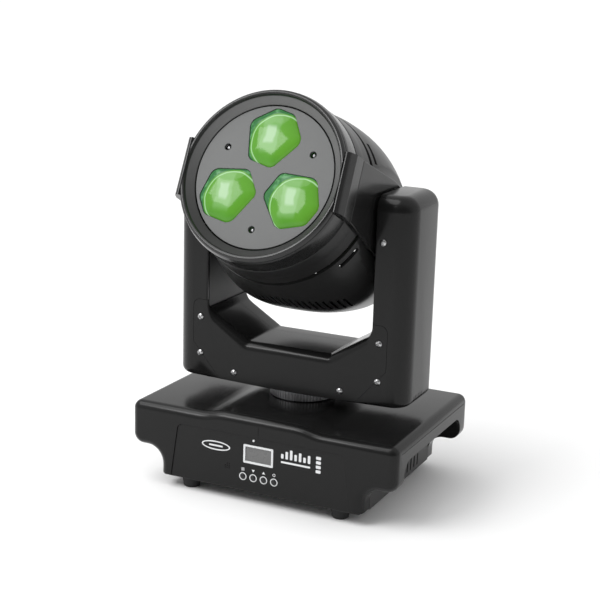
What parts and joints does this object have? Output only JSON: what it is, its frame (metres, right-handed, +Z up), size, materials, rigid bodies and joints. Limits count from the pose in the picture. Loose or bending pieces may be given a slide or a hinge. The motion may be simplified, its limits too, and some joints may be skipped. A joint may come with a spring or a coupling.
{
  "type": "moving head light",
  "caption": "Moving-head stage light: low base with a control panel, pan yoke, and a tilting round head with a grey disc of shaped lenses.",
  "frame": {"origin": "on the surface the feet stand on, below the pan axis", "axes": "+Z up along the pan axis; -Y towards the front with the control panel; +X along the tilt axis, to the right seen from behind the light"},
  "size_m": [0.28, 0.2543, 0.39],
  "materials": {
    "gloss_black_shell": "glossy piano-black moulded plastic",
    "satin_black_shell": "satin black moulded plastic",
    "black_sheet": "fine textured black powder coat",
    "panel_face": "smooth dark overlay film",
    "white_plastic": "white plastic",
    "screen": "unlit grey display window",
    "button_cap": "black plastic cap",
    "foot_rubber": "matt black rubber",
    "steel": "zinc-plated steel",
    "aluminium": "plain aluminium",
    "disc_grey": "satin light grey",
    "lens_green": "clear moulded lens over a lit green chip",
    "circuit_board": "green solder mask",
    "belt_rubber": "black toothed-belt rubber",
    "motor_black": "black motor body"
  },
  "bodies": {
    "base": {"base_cover": "gloss_black_shell", "base_tray": "black_sheet", "control_panel": "panel_face", "display_frame": "white_plastic", "display_screen": "screen", "status_lamp": "white_plastic", "display_board": "circuit_board", "rear_panel": "black_sheet", "power_inlet": "satin_black_shell", "fuse_holder": "satin_black_shell", "data_out_socket": "steel", "data_in_socket": "steel", "foot_front_left": "foot_rubber", "foot_front_right": "foot_rubber", "foot_rear_left": "foot_rubber", "foot_rear_right": "foot_rubber", "power_supply": "aluminium", "control_board": "circuit_board", "pan_shaft": "steel", "pan_pulley": "aluminium"},
    "yoke": {"yoke_frame": "black_sheet", "left_arm_cover": "gloss_black_shell", "right_arm_cover": "gloss_black_shell", "front_cross_cover": "gloss_black_shell", "rear_cross_cover": "gloss_black_shell", "pan_bridge": "steel", "pan_bearing": "steel", "pan_motor": "motor_black", "pan_belt": "belt_rubber", "tilt_motor": "motor_black", "tilt_belt": "belt_rubber", "left_tilt_bearing": "steel", "right_tilt_bearing": "steel"},
    "head": {"bezel_ring": "gloss_black_shell", "head_front_shell": "gloss_black_shell", "head_rear_shell": "gloss_black_shell", "left_side_bracket": "satin_black_shell", "right_side_bracket": "satin_black_shell", "lens_disc": "disc_grey", "lens_top": "lens_green", "lens_left": "lens_green", "lens_right": "lens_green", "led_board": "circuit_board", "heat_sink": "aluminium", "head_frame": "steel", "left_tilt_shaft": "steel", "right_tilt_shaft": "steel", "tilt_pulley": "aluminium", "fan_frame": "satin_black_shell"},
    "fan_rotor": {"fan_rotor": "satin_black_shell"},
    "pan_motor_pulley": {"pan_motor_pulley": "aluminium"},
    "tilt_motor_pulley": {"tilt_motor_pulley": "aluminium"},
    "button_menu": {"button_menu": "button_cap"},
    "button_down": {"button_down": "button_cap"},
    "button_up": {"button_up": "button_cap"},
    "button_enter": {"button_enter": "button_cap"}
  },
  "joints": [
    {"name": "pan", "type": "hinge", "parent": "base", "child": "yoke", "pos_m": [0, 0, 0.098], "axis": [0, 0, 1], "range_deg": [-270, 270]},
    {"name": "tilt", "type": "hinge", "parent": "yoke", "child": "head", "pos_m": [0, 0, 0.267], "axis": [1, 0, 0], "range_deg": [-178.5, 51.5]},
    {"name": "pan_motor_turn", "type": "hinge", "parent": "yoke", "child": "pan_motor_pulley", "pos_m": [-0.067, 0, 0.106], "axis": [0, 0, 1], "continuous": true},
    {"name": "tilt_motor_turn", "type": "hinge", "parent": "yoke", "child": "tilt_motor_pulley", "pos_m": [0.1136, 0, 0.178], "axis": [1, 0, 0], "continuous": true},
    {"name": "fan_turn", "type": "hinge", "parent": "head", "child": "fan_rotor", "pos_m": [0, 0.07517, 0.22952], "axis": [0, -0.8949, 0.4462], "continuous": true},
    {"name": "menu_press", "type": "slide", "parent": "base", "child": "button_menu", "axis": [0, 1, 0], "range_m": [0, 0.001], "stiffness_N_per_m": 400, "springref_m": -0.0005},
    {"name": "down_press", "type": "slide", "parent": "base", "child": "button_down", "axis": [0, 1, 0], "range_m": [0, 0.001], "stiffness_N_per_m": 400, "springref_m": -0.0005},
    {"name": "up_press", "type": "slide", "parent": "base", "child": "button_up", "axis": [0, 1, 0], "range_m": [0, 0.001], "stiffness_N_per_m": 400, "springref_m": -0.0005},
    {"name": "enter_press", "type": "slide", "parent": "base", "child": "button_enter", "axis": [0, 1, 0], "range_m": [0, 0.001], "stiffness_N_per_m": 400, "springref_m": -0.0005}
  ],
  "couplings": [
    {"joint": "pan_motor_turn", "follows": "pan", "ratio": -4.125},
    {"joint": "tilt_motor_turn", "follows": "tilt", "ratio": 2.75}
  ]
}
